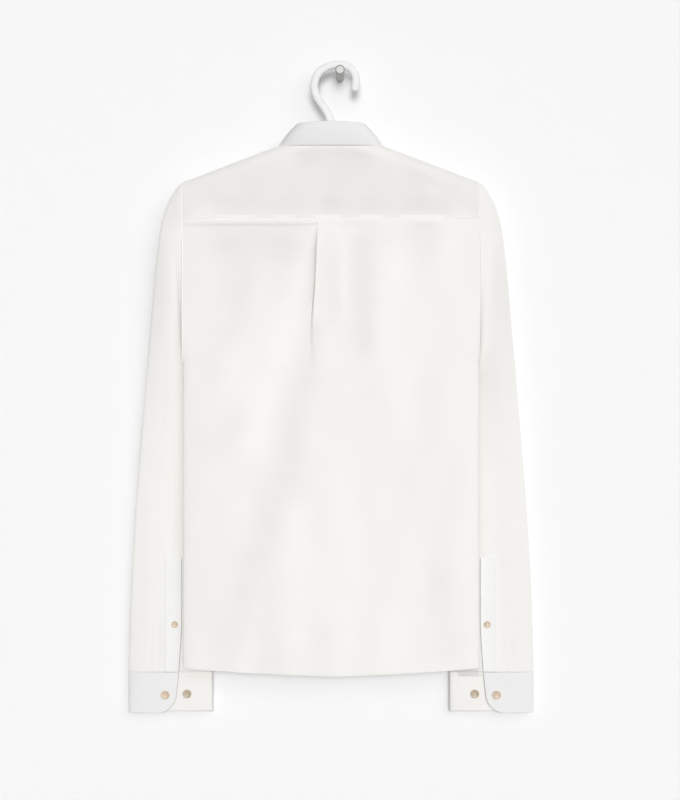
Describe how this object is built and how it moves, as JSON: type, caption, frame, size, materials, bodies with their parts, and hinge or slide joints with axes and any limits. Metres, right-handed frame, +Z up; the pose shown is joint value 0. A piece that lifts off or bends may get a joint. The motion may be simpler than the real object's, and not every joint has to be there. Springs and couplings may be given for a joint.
{
  "type": "pique shirt",
  "caption": "Long-sleeved button-up pique shirt with a plain collar and cuffs, hanging flat on a hanger from a wall peg.",
  "frame": {"origin": "middle of the wall peg's back face, on the wall", "axes": "+Z up, +Y towards the wall, so the shirt's back faces -Y and its wearer's right is +X"},
  "size_m": [0.5484, 0.058, 0.8771],
  "materials": {
    "pique": "off-white cotton pique knit, matt",
    "poplin": "white cotton poplin, smooth and matt",
    "horn": "tan horn-effect button, polished",
    "dark_horn": "dark brown horn-effect button, polished",
    "plastic": "white moulded plastic",
    "metal": "brushed metal peg"
  },
  "bodies": {
    "root": {"back": "pique", "yoke": "pique", "front_left": "pique", "front_right": "pique", "front_band": "pique", "collar_stand": "poplin", "collar_fall": "poplin", "sleeve_left": "pique", "sleeve_right": "pique", "sleeve_placket_left": "poplin", "sleeve_placket_right": "poplin", "cuff_left": "poplin", "cuff_right": "poplin", "cuff_underlap_left": "pique", "cuff_underlap_right": "pique", "button_cuff_left": "horn", "button_cuff_right": "horn", "button_spare_left": "dark_horn", "button_spare_right": "dark_horn", "button_placket_left": "horn", "button_placket_right": "horn", "button_front_1": "horn", "button_front_2": "horn", "button_front_3": "horn", "button_front_4": "horn", "button_front_5": "horn", "button_front_6": "horn", "button_collar": "horn", "hanger": "plastic", "hanger_hook": "plastic", "wall_peg": "metal"}
  },
  "joints": []
}
